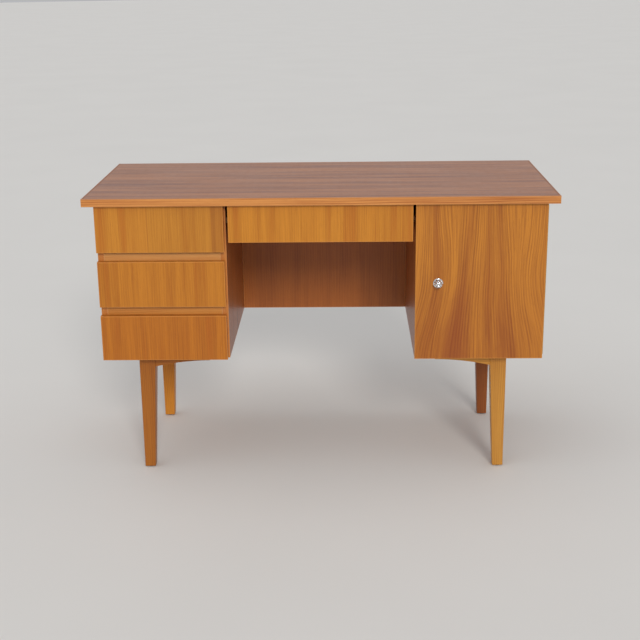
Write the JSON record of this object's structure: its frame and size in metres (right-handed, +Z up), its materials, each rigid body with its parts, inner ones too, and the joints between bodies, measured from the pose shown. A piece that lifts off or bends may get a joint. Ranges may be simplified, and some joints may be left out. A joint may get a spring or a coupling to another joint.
{
  "type": "writing desk with drawers",
  "caption": "Two-pedestal writing desk with a drawer stack, a central kneehole drawer, a hinged cupboard door with a round knob, a lipped veneered top and square tapered legs on short bearers.",
  "frame": {"origin": "on the floor under the middle of the desk top", "axes": "+X to the sitter's right, along the desk's length; +Y from the drawer fronts towards the back; +Z up"},
  "size_m": [1.2, 0.548, 0.75],
  "materials": {
    "top_veneer": "satin",
    "solid_lipping": "satin",
    "drawer_front_veneer": "satin",
    "door_veneer": "satin",
    "carcass_veneer": "satin",
    "inside_veneer": "matte",
    "plywood": "matte",
    "beech": "matte",
    "rail_wood": "satin",
    "leg_wood": "satin",
    "glide_plastic": "matte",
    "knob_chrome": "polished",
    "hinge_brass": "satin",
    "catch_housing": "satin",
    "steel": "satin"
  },
  "bodies": {
    "carcass": {"bearer_back_left": "leg_wood", "bearer_back_right": "leg_wood", "bearer_front_left": "leg_wood", "bearer_front_right": "leg_wood", "catch_magnet": "catch_housing", "centre_runners": "beech", "desktop_panel": "top_veneer", "drawer_rail_lower": "rail_wood", "drawer_rail_upper": "rail_wood", "hinge_pin": "hinge_brass", "hinge_side_leaf": "hinge_brass", "hinge_side_screws": "steel", "kneehole_back": "carcass_veneer", "kneehole_back_cleats": "beech", "left_back": "plywood", "left_bottom": "inside_veneer", "left_inner_side": "carcass_veneer", "left_outer_side": "carcass_veneer", "leg_back_left": "leg_wood", "leg_back_right": "leg_wood", "leg_dowels": "beech", "leg_front_left": "leg_wood", "leg_front_right": "leg_wood", "leg_glides": "glide_plastic", "lipping_back": "solid_lipping", "lipping_ends": "solid_lipping", "lipping_front": "solid_lipping", "long_screws": "steel", "pedestal_runners": "beech", "right_back": "plywood", "right_bottom": "inside_veneer", "right_inner_side": "carcass_veneer", "right_outer_side": "carcass_veneer", "shelf": "inside_veneer", "shelf_pins": "steel", "short_screws": "steel", "top_rails": "beech"},
    "upper_drawer": {"upper_drawer_front": "drawer_front_veneer", "upper_drawer_sides": "beech", "upper_drawer_back": "beech", "upper_drawer_bottom": "plywood"},
    "middle_drawer": {"middle_drawer_front": "drawer_front_veneer", "middle_drawer_sides": "beech", "middle_drawer_back": "beech", "middle_drawer_bottom": "plywood"},
    "lower_drawer": {"lower_drawer_front": "drawer_front_veneer", "lower_drawer_sides": "beech", "lower_drawer_back": "beech", "lower_drawer_bottom": "plywood"},
    "centre_drawer": {"centre_drawer_front": "drawer_front_veneer", "centre_drawer_sides": "beech", "centre_drawer_back": "beech", "centre_drawer_bottom": "plywood"},
    "door": {"door_panel": "door_veneer", "hinge_door_leaf": "hinge_brass", "door_screws": "steel", "door_knob": "knob_chrome", "knob_rose": "knob_chrome", "knob_screw": "steel", "catch_strike": "steel"}
  },
  "joints": [
    {"name": "upper_drawer_slide", "type": "slide", "parent": "carcass", "child": "upper_drawer", "axis": [0, -1, 0], "range_m": [0, 0.3]},
    {"name": "middle_drawer_slide", "type": "slide", "parent": "carcass", "child": "middle_drawer", "axis": [0, -1, 0], "range_m": [0, 0.3]},
    {"name": "lower_drawer_slide", "type": "slide", "parent": "carcass", "child": "lower_drawer", "axis": [0, -1, 0], "range_m": [0, 0.3]},
    {"name": "centre_drawer_slide", "type": "slide", "parent": "carcass", "child": "centre_drawer", "axis": [0, -1, 0], "range_m": [0, 0.3]},
    {"name": "door_hinge", "type": "hinge", "parent": "carcass", "child": "door", "pos_m": [0.574, -0.23875, 0.524], "axis": [0, 0, 1], "range_deg": [0, 180]}
  ]
}
